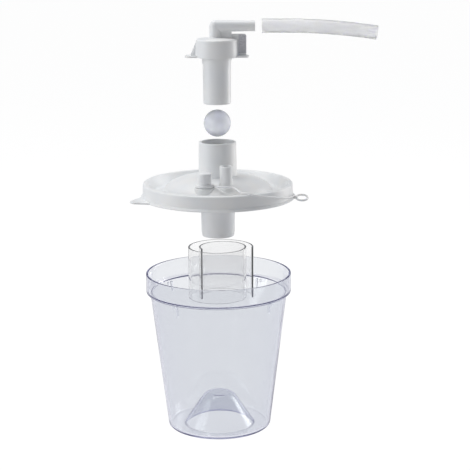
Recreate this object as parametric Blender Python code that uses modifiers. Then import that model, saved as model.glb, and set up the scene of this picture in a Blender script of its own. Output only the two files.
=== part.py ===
"""Suction collection canister with a float-ball shut-off, as an exploded assembly (metres, +Z up).

The pieces stand apart on the canister's axis in the order in which they go together, from the bottom:
the clear canister, the scroll-shaped splash guard, the push-on lid, the float ball and the elbow
connector, with its short hose pulled off beside it. The origin is on the canister's axis, on the plane
that its base stands on. The hose lies along +X and the lid's two ports are on its -Y side.
"""

import math

import bmesh
import bpy
from mathutils import Matrix, Vector

GAP = 0.0003  # left between pieces that touch
ROUND = 40  # flats round the large turned pieces
SMALL_ROUND = 20  # flats round the tubes and ports
WELD = 1e-6

# The canister: a tapered cup with a wide band round its mouth and a hollow cone in its floor.
JAR_HEIGHT = 0.1470
BAND_RADIUS = 0.0669
BAND_FOOT = 0.1295
SHOULDER_RADIUS = 0.0632
FOOT_RADIUS = 0.0477
JAR_WALL = 0.0018
CONE_RADIUS = 0.0325
CONE_HEIGHT = 0.0305
CONE_CROWN_RADIUS = 0.0135
RIB_ANGLE = 51.0
RIB_TOP = 0.1278
RIB_LENGTHS = (0.0090, 0.0030)
RIB_SPACING = 0.0042
RIB_THICKNESS = 0.0010
RIB_DEPTH = 0.0012

# The splash guard: an open scroll of three half circles, given as centre on X and radius.
GUARD_BOTTOM = 0.1237
GUARD_HEIGHT = 0.0474
GUARD_WALL = 0.0016
GUARD_INNER = (0.0040, 0.0210)
GUARD_FRONT = (-0.0010, 0.0260)
GUARD_OUTER = (0.0023, 0.0293)
GUARD_CURL = 25.0
GUARD_LAP = 8.0

# The lid: a push-on skirt, a moat, a domed deck, a chimney above and a drop tube below.
LID_WALL = 0.0016
RIM_TOP = 0.2317
SKIRT_BOTTOM = 0.2179
SKIRT_RADIUS = 0.0686
SKIRT_BORE = 0.06735
FLANGE_RADIUS = 0.0703
CREST_INNER = 0.0644
CHANNEL_INNER = 0.0647
MOAT_FLOOR = 0.2230
MOAT_RADIUS = 0.0585
DECK_RADIUS = 0.0495
DECK_TOP = 0.2376
CHIMNEY_TOP = 0.2689
CHIMNEY_RADIUS = 0.01695
CHIMNEY_FOOT_RADIUS = 0.0174
CHIMNEY_BORE = 0.01505
DROP_BOTTOM = 0.1819
DROP_RADIUS = 0.01565
DROP_BORE = 0.0137
FIN_REACH = 0.0330
FIN_BOTTOM = 0.2198
FIN_THICKNESS = 0.0015
LIFT_TAB_TIP = (-0.0814, -0.0316)
LIFT_TAB_ROUND = 0.0065
LIFT_TAB_ARC = (0.0680, 182.5, 212.8)

# The two ports on the front of the deck.
PORT_Y = -0.0370
BOSS_TOP = 0.2339
TALL_PORT_X = 0.0078
TALL_PORT_RADIUS = 0.00565
TALL_PORT_TOP = 0.2530
TALL_PORT_BORE = 0.0034
TALL_BOSS_RADIUS = 0.0074
CAP_X = -0.0112
CAP_RADIUS = 0.0060
CAP_TOP = 0.2468
CAP_BORE = 0.0046
CAP_COLLAR_RADIUS = 0.0082
CAP_COLLAR_HEIGHT = 0.0025
NIPPLE_RADIUS = 0.0042
NIPPLE_BORE = 0.0026
NIPPLE_TOP = 0.2446

# The tether, from the port cap over the rim to the pull ring.
STRAP_RADIUS = 0.0008
RING_BAND = 0.0010
RING_CENTRE = (0.0764, -0.0090, 0.2186)
RING_HALF = (0.0052, 0.0060)
RING_TILT = 14.0
RING_ROOT = ((0.0706, -0.0120, 0.2174), (0.0722, -0.0060, 0.2200))
RING_ANCHOR = ((0.0679, -0.0130, 0.2182), (0.0702, -0.0050, 0.2215))

# The float ball, and the elbow connector that it seals.
BALL_RADIUS = 0.0122
BALL_HEIGHT = 0.2858
PLUG_BOTTOM = 0.3036
PLUG_RADIUS = 0.0124
PLUG_ROOT_RADIUS = 0.0129
PLUG_BORE = 0.0107
COLLAR_RADIUS = 0.0133
COLLAR_BOTTOM = 0.3412
COLLAR_SLOPE = 0.12
CAP_BOTTOM_Z = 0.3453
CAP_TOP_Z = 0.3615
CAP_CROWN = 0.0014  # how far the roof bulges up in the middle
CAP_OUTER = 0.0192
CAP_TAPER = 0.0007
CAP_INNER = 0.0175
CAP_ROOF = 0.0018
EAR_TIP = 0.0286
EAR_HALF_WIDTH = 0.0080
EAR_THICKNESS = 0.0016
GRIP_TIP = 0.0265
GRIP_TOP = 0.3659
GRIP_THICKNESS = 0.0016
GRIP_BORDER = 0.0019
FIN_TIP = 0.0240
SPOUT_X = -0.00110
SPOUT_Z = 0.3729
SPOUT_RADIUS = 0.00535
SPOUT_TIP_RADIUS = 0.0046
SPOUT_TIP_X = 0.0343
SPOUT_BORE = 0.0032
BAND_TIP_RADIUS = 0.00485
BAND_TIP_LENGTH = 0.0040
WEB_END = 0.0134

# The hose, pulled off the spout.
HOSE_RADIUS = 0.00625
HOSE_BORE = 0.0053
HOSE_ROUTE = (  # x and z of its middle line, straight off the spout and then slowly down
    (0.0404, 0.3729), (0.0477, 0.3729), (0.0551, 0.3729), (0.0624, 0.3729), (0.0697, 0.3728),
    (0.0770, 0.3726), (0.0844, 0.3723), (0.0917, 0.3719), (0.0990, 0.3714), (0.1064, 0.3708),
    (0.1137, 0.3701), (0.1210, 0.3693), (0.1283, 0.3684), (0.1357, 0.3674), (0.1430, 0.3663),
)


def collection(name):
    """A new collection in the scene."""
    made = bpy.data.collections.new(name)
    bpy.context.scene.collection.children.link(made)
    return made


for old in list(bpy.data.objects):
    bpy.data.objects.remove(old, do_unlink=True)
PARTS = collection("suction_canister")
TOOLS = collection("cutters")


def finish(name, colour, roughness, alpha=1.0):
    """A plastic with one colour; a clear one lets the light through."""
    made = bpy.data.materials.new(name)
    made.use_nodes = True
    shader = made.node_tree.nodes["Principled BSDF"]
    shader.inputs["Base Color"].default_value = (*colour, 1)
    shader.inputs["Roughness"].default_value = roughness
    shader.inputs["Metallic"].default_value = 0
    shader.inputs["Alpha"].default_value = alpha
    return made


WHITE = finish("white_plastic", (0.83, 0.84, 0.85), 0.38)
CLEAR_BLUE = finish("clear_canister", (0.80, 0.81, 0.88), 0.06, 0.35)
CLEAR = finish("clear_guard", (0.84, 0.84, 0.84), 0.08, 0.35)
MILKY = finish("milky_ball", (0.78, 0.80, 0.86), 0.22)
HOSE = finish("hose_vinyl", (0.80, 0.82, 0.87), 0.30, 0.85)
SEAL = finish("seal_rubber", (0.62, 0.63, 0.64), 0.60)


def placed(name, mesh, material, group=PARTS):
    """An object for a mesh, in the parts' collection or hidden in the cutters' one."""
    made = bpy.data.objects.new(name, mesh)
    group.objects.link(made)
    if material:
        mesh.materials.append(material)
    if group is TOOLS:
        made.hide_render = True
        made.display_type = "WIRE"
    return made


def rounded(corners, arc_steps=2):
    """The line through corners of (across, up, radius), with an arc wherever the radius isn't 0."""
    line = []
    for i, (across, up, radius) in enumerate(corners):
        here = Vector((across, up))
        if radius == 0 or i in (0, len(corners) - 1):
            line.append(here)
            continue
        back = (Vector(corners[i - 1][:2]) - here).normalized()
        ahead = (Vector(corners[i + 1][:2]) - here).normalized()
        half = back.angle(ahead) / 2
        centre = here + (back + ahead).normalized() * radius / math.sin(half)
        start = here + back * radius / math.tan(half) - centre
        end = here + ahead * radius / math.tan(half) - centre
        first = math.atan2(start.y, start.x)
        sweep = (math.atan2(end.y, end.x) - first + math.pi) % math.tau - math.pi
        for k in range(arc_steps + 1):
            angle = first + sweep * k / arc_steps
            line.append(centre + radius * Vector((math.cos(angle), math.sin(angle))))
    return line


def arc(centre, radius, start, end, steps):
    """Points on a circle about (x, y), from one angle to another in degrees."""
    x, y = centre
    angles = [math.radians(start + (end - start) * k / steps) for k in range(steps + 1)]
    return [Vector((x + radius * math.cos(a), y + radius * math.sin(a))) for a in angles]


def turned(name, line, material, steps=ROUND, closed=False):
    """A turned piece: a line of (radius, height), run down its outer side, spun about Z."""
    mesh = bpy.data.meshes.new(name)
    edges = [(i, i + 1) for i in range(len(line) - 1)]
    if closed:
        edges.append((len(line) - 1, 0))
    mesh.from_pydata([(r, 0, z) for r, z in line], edges, [])
    made = placed(name, mesh, material)
    spin = made.modifiers.new("spin", "SCREW")
    spin.axis = "Z"
    spin.steps = spin.render_steps = steps
    spin.use_merge_vertices = True
    spin.merge_threshold = WELD
    return made


def from_bmesh(name, shape, material, group):
    """An object for a bmesh, which is freed."""
    mesh = bpy.data.meshes.new(name)
    shape.to_mesh(mesh)
    shape.free()
    return placed(name, mesh, material, group)


def rod(name, start, end, radius, end_radius=None, steps=SMALL_ROUND, material=None, group=TOOLS):
    """A round bar or cone from one point to another."""
    start, end = Vector(start), Vector(end)
    along = end - start
    turn = Vector((0, 0, 1)).rotation_difference(along).to_matrix().to_4x4()
    shape = bmesh.new()
    bmesh.ops.create_cone(
        shape,
        cap_ends=True,
        segments=steps,
        radius1=radius,
        radius2=radius if end_radius is None else end_radius,
        depth=along.length,
        matrix=Matrix.Translation((start + end) / 2) @ turn,
    )
    return from_bmesh(name, shape, material, group)


def block(name, low, high, turn=0.0):
    """A box between two corners, turned about Z by an angle in degrees."""
    low, high = Vector(low), Vector(high)
    shape = bmesh.new()
    bmesh.ops.create_cube(
        shape,
        size=1,
        matrix=Matrix.Rotation(math.radians(turn), 4, "Z")
        @ Matrix.Translation((low + high) / 2)
        @ Matrix.Diagonal((*(high - low), 1)),
    )
    return from_bmesh(name, shape, None, TOOLS)


def solid_from_curve(name, curve, material, group, matrix=Matrix()):
    """The closed mesh of a curve with its caps welded on."""
    source = bpy.data.objects.new(name + "_line", curve)
    TOOLS.objects.link(source)
    graph = bpy.context.evaluated_depsgraph_get()
    mesh = bpy.data.meshes.new_from_object(source.evaluated_get(graph))
    bpy.data.objects.remove(source)
    shape = bmesh.new()
    shape.from_mesh(mesh)
    bmesh.ops.remove_doubles(shape, verts=shape.verts, dist=WELD)
    bmesh.ops.recalc_face_normals(shape, faces=shape.faces)
    bmesh.ops.transform(shape, matrix=matrix, verts=shape.verts)
    bpy.data.meshes.remove(mesh)
    return from_bmesh(name, shape, material, group)


def plate(name, outline, thickness, matrix=Matrix(), material=None, group=TOOLS):
    """A flat piece: an outline in XY, filled and made as thick as is said, half each way."""
    curve = bpy.data.curves.new(name, "CURVE")
    curve.dimensions = "2D"
    curve.fill_mode = "BOTH"
    curve.extrude = thickness / 2
    spline = curve.splines.new("POLY")
    spline.points.add(len(outline) - 1)
    for point, (x, y) in zip(spline.points, outline):
        point.co = (x, y, 0, 1)
    spline.use_cyclic_u = True
    return solid_from_curve(name, curve, material, group, matrix)


def tube(name, route, radius, sides, material, group=PARTS, closed=False):
    """A round bar along a route of points."""
    curve = bpy.data.curves.new(name, "CURVE")
    curve.dimensions = "3D"
    curve.bevel_depth = radius
    curve.bevel_resolution = sides // 2 - 2
    curve.use_fill_caps = True
    spline = curve.splines.new("POLY")
    spline.points.add(len(route) - 1)
    for point, place in zip(spline.points, route):
        point.co = (*place, 1)
    spline.use_cyclic_u = closed
    return solid_from_curve(name, curve, material, group)


def combine(target, operation, *tools):
    """Join tools to a piece, or cut them from it."""
    for tool in tools:
        change = target.modifiers.new(tool.name, "BOOLEAN")
        change.operation = operation
        change.solver = "EXACT"
        change.object = tool


def upright(turn=0.0):
    """Stands an XY outline up in the XZ plane, then turns it about Z by degrees."""
    return Matrix.Rotation(math.radians(turn), 4, "Z") @ Matrix.Rotation(math.pi / 2, 4, "X")


def canister_jar():
    """The clear cup: wall, mouth band, ledge at the band's foot, hollow cone in the floor."""
    inside_radius = BAND_RADIUS - JAR_WALL
    inside = [
        (0, CONE_HEIGHT, 0),
        (CONE_CROWN_RADIUS, CONE_HEIGHT, 0.008),
        (CONE_RADIUS, JAR_WALL, 0.002),
        (FOOT_RADIUS - JAR_WALL, JAR_WALL, 0.003),
        (SHOULDER_RADIUS - JAR_WALL, BAND_FOOT + 0.0004, 0.001),
        (inside_radius, BAND_FOOT + JAR_WALL, 0.001),
        (inside_radius, JAR_HEIGHT, 0.0006),
    ]
    outside = [
        (BAND_RADIUS, JAR_HEIGHT, 0.0006),
        (BAND_RADIUS, BAND_FOOT, 0.0018),
        (SHOULDER_RADIUS, BAND_FOOT - 0.0010, 0.0006),
        (FOOT_RADIUS, 0, 0.0035),
        (CONE_RADIUS - 0.0012, 0, 0.001),
        (CONE_CROWN_RADIUS - 0.0009, CONE_HEIGHT - JAR_WALL, 0.007),
        (0, CONE_HEIGHT - JAR_WALL, 0),
    ]
    jar = turned("canister_jar", rounded(inside + outside), CLEAR_BLUE)
    taper = (SHOULDER_RADIUS - FOOT_RADIUS) / BAND_FOOT
    for quarter in range(4):
        for number, length in enumerate(RIB_LENGTHS):
            wall = SHOULDER_RADIUS - JAR_WALL - taper * (BAND_FOOT - RIB_TOP + length)
            side = (number - 0.5) * RIB_SPACING * (1 if quarter % 2 else -1)
            rib = block(
                f"stacking_rib_{quarter}_{number}",
                (wall - RIB_DEPTH, side - RIB_THICKNESS / 2, RIB_TOP - length),
                (SHOULDER_RADIUS - JAR_WALL, side + RIB_THICKNESS / 2, RIB_TOP),
                RIB_ANGLE + 90 * quarter,
            )
            combine(jar, "UNION", rib)


def splash_guard():
    """An upright sheet rolled into a scroll, one and a half turns, open at top and bottom."""
    outline = []
    arcs = (
        (GUARD_INNER, 180 + GUARD_CURL, 0, 13),
        (GUARD_FRONT, 0, -180, 12),
        (GUARD_OUTER, 180, -GUARD_LAP, 14),
    )
    for (x, radius), start, end, steps in arcs:
        outline += arc((x, 0), radius + GUARD_WALL / 2, start, end, steps)[bool(outline) :]
    back = []
    for (x, radius), start, end, steps in reversed(arcs):
        back += arc((x, 0), radius - GUARD_WALL / 2, end, start, steps)[bool(back) :]
    middle = Matrix.Translation((0, 0, GUARD_BOTTOM + GUARD_HEIGHT / 2))
    plate("splash_guard", outline + back, GUARD_HEIGHT, middle, CLEAR, PARTS)


def quarter_ellipse(centre, across, up, steps):
    """Points of (radius, height) from above the centre, out and down to its level."""
    x, z = centre
    angles = [math.pi / 2 * (1 - k / steps) for k in range(steps + 1)]
    return [Vector((x + across * math.cos(a), z + up * math.sin(a))) for a in angles]


def lid_body():
    """The turned part of the lid, as one closed line round its section."""
    deck = quarter_ellipse(
        (CHIMNEY_FOOT_RADIUS, MOAT_FLOOR), DECK_RADIUS - CHIMNEY_FOOT_RADIUS, DECK_TOP - MOAT_FLOOR, 7
    )
    under = MOAT_FLOOR - LID_WALL
    ceiling = quarter_ellipse(
        (DROP_RADIUS, under), DECK_RADIUS - LID_WALL - DROP_RADIUS, DECK_TOP - MOAT_FLOOR, 7
    )
    top = [
        (CHIMNEY_BORE, CHIMNEY_TOP, 0.0004),
        (CHIMNEY_RADIUS, CHIMNEY_TOP, 0.0006),
        (*deck[0], 0),
    ]
    rim = [
        (MOAT_RADIUS, MOAT_FLOOR, 0.003),
        (CREST_INNER - 0.0006, RIM_TOP, 0.0014),
        (SKIRT_RADIUS - 0.0004, RIM_TOP, 0.0018),
        (SKIRT_RADIUS, SKIRT_BOTTOM + 0.0018, 0.0004),
        (FLANGE_RADIUS, SKIRT_BOTTOM + 0.0015, 0.0004),
        (FLANGE_RADIUS, SKIRT_BOTTOM, 0.0004),
        (SKIRT_BORE, SKIRT_BOTTOM, 0),
        (SKIRT_BORE, RIM_TOP - LID_WALL, 0),
        (CHANNEL_INNER, RIM_TOP - LID_WALL, 0),
        (MOAT_RADIUS + 0.0012, under, 0.002),
    ]
    drop = [
        (DROP_RADIUS - 0.0004, DROP_BOTTOM + 0.0040, 0.0060),
        (DROP_RADIUS - 0.0011, DROP_BOTTOM, 0.0005),
        (DROP_BORE, DROP_BOTTOM, 0.0003),
        (DROP_BORE, DECK_TOP - 0.0050, 0),
        (CHIMNEY_BORE, DECK_TOP - 0.0010, 0),
    ]
    line = rounded(top) + deck[1:] + rounded([(*deck[-1], 0)] + rim + [(*ceiling[-1], 0)])[1:]
    line += ceiling[-2::-1] + rounded([(*ceiling[0], 0)] + drop + [(CHIMNEY_BORE, CHIMNEY_TOP, 0)])[1:-1]
    return turned("lid", line, WHITE, closed=True)


def lift_tab():
    """The pointed tab on the flange that the lid is prised off with."""
    radius, start, end = LIFT_TAB_ARC
    root = arc((0, 0), radius, end, start, 6)
    outline = root + rounded([(*root[-1], 0), (*LIFT_TAB_TIP, LIFT_TAB_ROUND), (*root[0], 0)], arc_steps=4)[1:-1]
    lift = Matrix.Translation((0, 0, SKIRT_BOTTOM + EAR_THICKNESS / 2 + 0.0001))
    return plate("lift_tab", outline, EAR_THICKNESS, lift)


def lid():
    """The push-on lid: one moulding with its ports, fins, lift tab and ring anchor."""
    body = lid_body()
    fin = [
        (DROP_RADIUS - 0.0008, FIN_BOTTOM),
        (FIN_REACH, FIN_BOTTOM),
        (FIN_REACH, DECK_TOP - 0.0029),
        (DROP_RADIUS - 0.0008, DECK_TOP - 0.0010),
    ]
    for corner in range(4):
        combine(body, "UNION", plate(f"deck_fin_{corner}", fin, FIN_THICKNESS, upright(45 + 90 * corner)))
    foot = DECK_TOP - 0.0100
    seat = (CAP_X, PORT_Y, BOSS_TOP)
    combine(body, "UNION", rod("cap_boss", (CAP_X, PORT_Y, foot), seat, CAP_COLLAR_RADIUS + 0.0010))
    combine(body, "DIFFERENCE", rod("cap_seat", seat, (CAP_X, PORT_Y, CAP_TOP), CAP_COLLAR_RADIUS + 0.0004))
    pieces = [
        rod("nipple", (CAP_X, PORT_Y, foot + 0.0010), (CAP_X, PORT_Y, NIPPLE_TOP), NIPPLE_RADIUS),
        rod("tall_boss", (TALL_PORT_X, PORT_Y, foot), (TALL_PORT_X, PORT_Y, BOSS_TOP), TALL_BOSS_RADIUS, 0.0068),
        rod(
            "tall_port",
            (TALL_PORT_X, PORT_Y, foot + 0.0010),
            (TALL_PORT_X, PORT_Y, TALL_PORT_TOP),
            TALL_PORT_RADIUS,
        ),
        lift_tab(),
        block("ring_anchor", *RING_ANCHOR),
    ]
    combine(body, "UNION", *pieces)
    gusset = [
        (TALL_PORT_X - 0.0072, BOSS_TOP - 0.0006),
        (TALL_PORT_X - 0.0010, BOSS_TOP - 0.0006),
        (TALL_PORT_X - 0.0010, BOSS_TOP + 0.0044),
        (TALL_PORT_X - 0.0055, BOSS_TOP + 0.0044),
    ]
    stand = Matrix.Translation((0, PORT_Y, 0)) @ upright()
    combine(body, "UNION", plate("port_gusset", gusset, FIN_THICKNESS, stand))
    deep = SKIRT_BOTTOM - 0.0100
    combine(
        body,
        "DIFFERENCE",
        rod("tall_port_bore", (TALL_PORT_X, PORT_Y, deep), (TALL_PORT_X, PORT_Y, CHIMNEY_TOP), TALL_PORT_BORE),
        rod("nipple_bore", (CAP_X, PORT_Y, deep), (CAP_X, PORT_Y, CHIMNEY_TOP), NIPPLE_BORE),
    )


def ring(name, inner, outer, low, high, material, steps=ROUND):
    """A flat ring about Z."""
    line = [(inner, high), (outer, high), (outer, low), (inner, low)]
    return turned(name, [Vector(p) for p in line], material, steps, closed=True)


def seals_and_cage():
    """The lid's sealing ring, the elbow's sealing ring, and the cross bars that the ball rests on."""
    ceiling = RIM_TOP - LID_WALL - GAP
    ring("lid_seal_ring", CHANNEL_INNER + GAP, SKIRT_BORE - GAP, ceiling - 0.0012, ceiling, SEAL)
    roof = CAP_TOP_Z - CAP_ROOF - 0.0007 - GAP
    ring("elbow_seal_ring", COLLAR_RADIUS + GAP, CAP_INNER - GAP, roof - 0.0012, roof, SEAL, 36)
    low, high = DROP_BOTTOM + 0.0005, DROP_BOTTOM + 0.0028
    cage = ring("ball_cage", 0.0115, DROP_BORE - GAP, low, high, WHITE, SMALL_ROUND)
    for number, turn in enumerate((45, 135)):
        bar = block(f"cage_bar_{number}", (-0.0122, -0.0008, low + 0.0002), (0.0122, 0.0008, high - 0.0002), turn)
        combine(cage, "UNION", bar)


def port_cap():
    """The push-on cap over the left port: a blind cup with a wide collar round its foot."""
    low = BOSS_TOP + GAP
    collar = low + CAP_COLLAR_HEIGHT
    line = [
        (0, CAP_TOP, 0),
        (CAP_RADIUS + 0.0002, CAP_TOP, 0.0006),
        (CAP_RADIUS - 0.0002, collar, 0),
        (CAP_COLLAR_RADIUS, collar, 0.0006),
        (CAP_COLLAR_RADIUS, low, 0.0004),
        (CAP_BORE, low, 0),
        (CAP_BORE, CAP_TOP - 0.0016, 0),
        (0, CAP_TOP - 0.0016, 0),
    ]
    made = turned("port_cap", rounded(line), WHITE, SMALL_ROUND)
    made.location = (CAP_X, PORT_Y, 0)


def catmull(points, steps):
    """A smooth curve through points."""
    points = [Vector(p) for p in points]
    line = []
    padded = [2 * points[0] - points[1]] + points + [2 * points[-1] - points[-2]]
    for a, b, c, d in zip(padded, padded[1:], padded[2:], padded[3:]):
        for k in range(steps):
            t = k / steps
            line.append(
                0.5 * (2 * b + (c - a) * t + (2 * a - 5 * b + 4 * c - d) * t**2 + (3 * b - a - 3 * c + d) * t**3)
            )
    return line + [points[-1]]


def round_rim(angle, radius, height):
    """A point at an angle from +X towards -Y, in degrees, about the lid's axis."""
    turn = math.radians(angle)
    return (radius * math.cos(turn), -radius * math.sin(turn), height)


def tether():
    """The strap from the port cap's collar over the rim and down the skirt, and its pull ring."""
    clear = STRAP_RADIUS + GAP
    beside = SKIRT_RADIUS + clear + 0.0001
    route = [
        (CAP_X + CAP_COLLAR_RADIUS + clear, PORT_Y - 0.0040, BOSS_TOP + 0.0016),
        (TALL_PORT_X - 0.0040, PORT_Y - 0.0088, BOSS_TOP + 0.0020),
        (TALL_PORT_X + 0.0070, PORT_Y - 0.0110, BOSS_TOP + 0.0016),
        round_rim(70, 0.0600, RIM_TOP + 0.0016),
        round_rim(66, 0.0665, RIM_TOP + clear + 0.0002),
        round_rim(61, beside, RIM_TOP - 0.0006),
        round_rim(50, beside, RIM_TOP - 0.0034),
        round_rim(36, beside, RIM_TOP - 0.0066),
        round_rim(22, beside, RIM_TOP - 0.0094),
        round_rim(11, beside + 0.0002, RIM_TOP - 0.0107),
    ]
    tube("tether_strap", catmull(route, 4), STRAP_RADIUS, 8, WHITE)
    tilt = Matrix.Translation(RING_CENTRE) @ Matrix.Rotation(math.radians(RING_TILT), 4, "X")
    across, along = RING_HALF
    angles = [math.tau * k / 24 for k in range(24)]
    loop = [tilt @ Vector((across * math.cos(a), along * math.sin(a), 0)) for a in angles]
    pull_ring = tube("pull_ring", loop, RING_BAND, 8, WHITE, closed=True)
    combine(pull_ring, "UNION", block("ring_root", *RING_ROOT))


def float_ball():
    """The ball that rises in the chimney and closes the plug's mouth."""
    shape = bmesh.new()
    bmesh.ops.create_uvsphere(shape, u_segments=24, v_segments=14, radius=BALL_RADIUS)
    made = from_bmesh("float_ball", shape, MILKY, PARTS)
    made.location = (0, 0, BALL_HEIGHT)


def elbow_cap():
    """The turned part of the connector: a skirted cap with the plug tube hanging in it."""
    annulus_roof = CAP_TOP_Z - CAP_ROOF - 0.0007
    line = [
        (0, CAP_TOP_Z + CAP_CROWN, 0),
        (0.0085, CAP_TOP_Z + 0.8 * CAP_CROWN, 0.008),
        (CAP_OUTER - CAP_TAPER, CAP_TOP_Z, 0.0018),
        (CAP_OUTER, CAP_BOTTOM_Z, 0.0003),
        (CAP_INNER, CAP_BOTTOM_Z, 0),
        (CAP_INNER, annulus_roof, 0),
        (PLUG_ROOT_RADIUS, annulus_roof, 0),
        (PLUG_RADIUS, PLUG_BOTTOM, 0.0008),
        (PLUG_BORE, PLUG_BOTTOM, 0),
        (PLUG_BORE, CAP_TOP_Z - CAP_ROOF, 0),
        (0, CAP_TOP_Z - CAP_ROOF, 0),
    ]
    return turned("elbow_connector", rounded(line), WHITE, 32)


def ear(name, turn):
    """A flat ear at the cap's lower edge, rounded at its corners."""
    angle = math.degrees(math.asin(EAR_HALF_WIDTH / (CAP_OUTER - 0.0006)))
    root = arc((0, 0), CAP_OUTER - 0.0006, angle, -angle, 6)
    tip = [(EAR_TIP, -EAR_HALF_WIDTH, 0.0050), (EAR_TIP, EAR_HALF_WIDTH, 0.0050)]
    outline = root + rounded([(*root[-1], 0)] + tip + [(*root[0], 0)])[1:-1]
    lift = Matrix.Translation((0, 0, CAP_BOTTOM_Z + EAR_THICKNESS / 2))
    return plate(name, outline, EAR_THICKNESS, Matrix.Rotation(math.radians(turn), 4, "Z") @ lift)


def elbow_connector():
    """The elbow connector: cap, plug, ears, grip, fin, spout and web, moulded in one."""
    body = elbow_cap()
    inside_wall = CAP_OUTER - 0.0011
    collar = rod("plug_collar", (0, 0, COLLAR_BOTTOM), (0, 0, CAP_TOP_Z - 0.0022), COLLAR_RADIUS, steps=32)
    for vertex in collar.data.vertices:
        if vertex.co.z < CAP_BOTTOM_Z:
            vertex.co.z += COLLAR_SLOPE * vertex.co.x
    core = rod("plug_core", (0, 0, PLUG_BOTTOM), (0, 0, CAP_TOP_Z), PLUG_BORE + 0.0010, steps=32)
    combine(collar, "DIFFERENCE", core)
    combine(body, "UNION", collar, ear("right_ear", 0), ear("left_ear", 180))
    floor = CAP_BOTTOM_Z + EAR_THICKNESS - 0.0004
    grip = rounded(
        [
            (SPOUT_X + 0.0030, CAP_TOP_Z - 0.0009, 0),
            (inside_wall, CAP_TOP_Z - 0.0009, 0),
            (inside_wall, floor, 0),
            (GRIP_TIP, floor, 0),
            (GRIP_TIP, GRIP_TOP, 0.0022),
            (SPOUT_X + 0.0030, GRIP_TOP, 0),
        ]
    )
    border = rounded(
        [
            (WEB_END, GRIP_TOP - GRIP_BORDER, 0),
            (GRIP_TIP - GRIP_BORDER, GRIP_TOP - GRIP_BORDER, 0.0008),
            (GRIP_TIP - GRIP_BORDER, floor, 0),
            (GRIP_TIP, floor, 0),
            (GRIP_TIP, GRIP_TOP, 0.0022),
            (WEB_END, GRIP_TOP, 0),
        ]
    )
    fin = [(-inside_wall, CAP_TOP_Z - 0.0016), (-inside_wall, floor), (-FIN_TIP, floor)]
    web = [
        (SPOUT_X + 0.0010, CAP_TOP_Z - 0.0006),
        (WEB_END, CAP_TOP_Z - 0.0006),
        (WEB_END, SPOUT_Z - 0.0030),
        (SPOUT_X + 0.0010, SPOUT_Z - 0.0013),
    ]
    combine(
        body,
        "UNION",
        plate("grip", grip, GRIP_THICKNESS, upright()),
        plate("grip_border", border, GRIP_THICKNESS + 0.0009, upright()),
        plate("cap_fin", fin, GRIP_THICKNESS, upright()),
        plate("spout_web", web, 0.0046, upright()),
    )
    corner = (SPOUT_X, 0, SPOUT_Z)
    tip = (SPOUT_TIP_X, 0, SPOUT_Z)
    shape = bmesh.new()
    bmesh.ops.create_uvsphere(
        shape,
        u_segments=18,
        v_segments=9,
        radius=SPOUT_RADIUS + 0.00012,
        matrix=Matrix.Translation(corner),
    )
    combine(
        body,
        "UNION",
        rod("stub", (SPOUT_X, 0, CAP_TOP_Z - 0.0008), (SPOUT_X, 0, SPOUT_Z - 0.0006), SPOUT_RADIUS),
        from_bmesh("bend", shape, None, TOOLS),
        rod(
            "spout",
            (SPOUT_X + 0.0006, 0, SPOUT_Z),
            (SPOUT_TIP_X - 0.0003, 0, SPOUT_Z),
            SPOUT_RADIUS,
            SPOUT_TIP_RADIUS,
        ),
        rod("spout_band", (SPOUT_TIP_X - BAND_TIP_LENGTH, 0, SPOUT_Z), tip, BAND_TIP_RADIUS),
    )
    combine(
        body,
        "DIFFERENCE",
        rod("stub_bore", (SPOUT_X, 0, CAP_TOP_Z - 0.0040), (SPOUT_X, 0, SPOUT_Z + 0.0020), SPOUT_BORE),
        rod("spout_bore", corner, (SPOUT_TIP_X + 0.0020, 0, SPOUT_Z), SPOUT_BORE),
    )


def hose():
    """The short hose, a plain tube with both ends cut square."""
    line = [Vector((x, 0, z)) for x, z in HOSE_ROUTE]
    past = [line[0] * 1.5 - line[1] * 0.5, *line, line[-1] * 1.5 - line[-2] * 0.5]
    wall = tube("hose", line, HOSE_RADIUS, 12, HOSE)
    combine(wall, "DIFFERENCE", tube("hose_bore", past, HOSE_BORE, 12, None, TOOLS))


canister_jar()
splash_guard()
lid()
seals_and_cage()
port_cap()
tether()
float_ball()
elbow_connector()
hose()

for part in PARTS.objects:
    part.data.shade_smooth()
    part.data.set_sharp_from_angle(angle=math.radians(35))
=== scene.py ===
# %% [markdown]
# # A suction canister, taken apart on its own axis
#
# A suction canister collects liquid at a bedside or in a workshop. A clear cup stands at the bottom, and
# above it float the pieces that close it: a rolled clear sheet that calms the splashing, a white lid with
# two ports, a ball that floats up and shuts the suction off, an elbow with its plug, and a short hose.
#
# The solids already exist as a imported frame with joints. This lesson gives each one the surface that is
# seen: fine turned meshes, rounded mouldings, and plastics whose colour, gloss and grain come from nodes.

# %% The frame
import math

import bmesh
import bpy
from mathutils import Matrix, Vector


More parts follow.
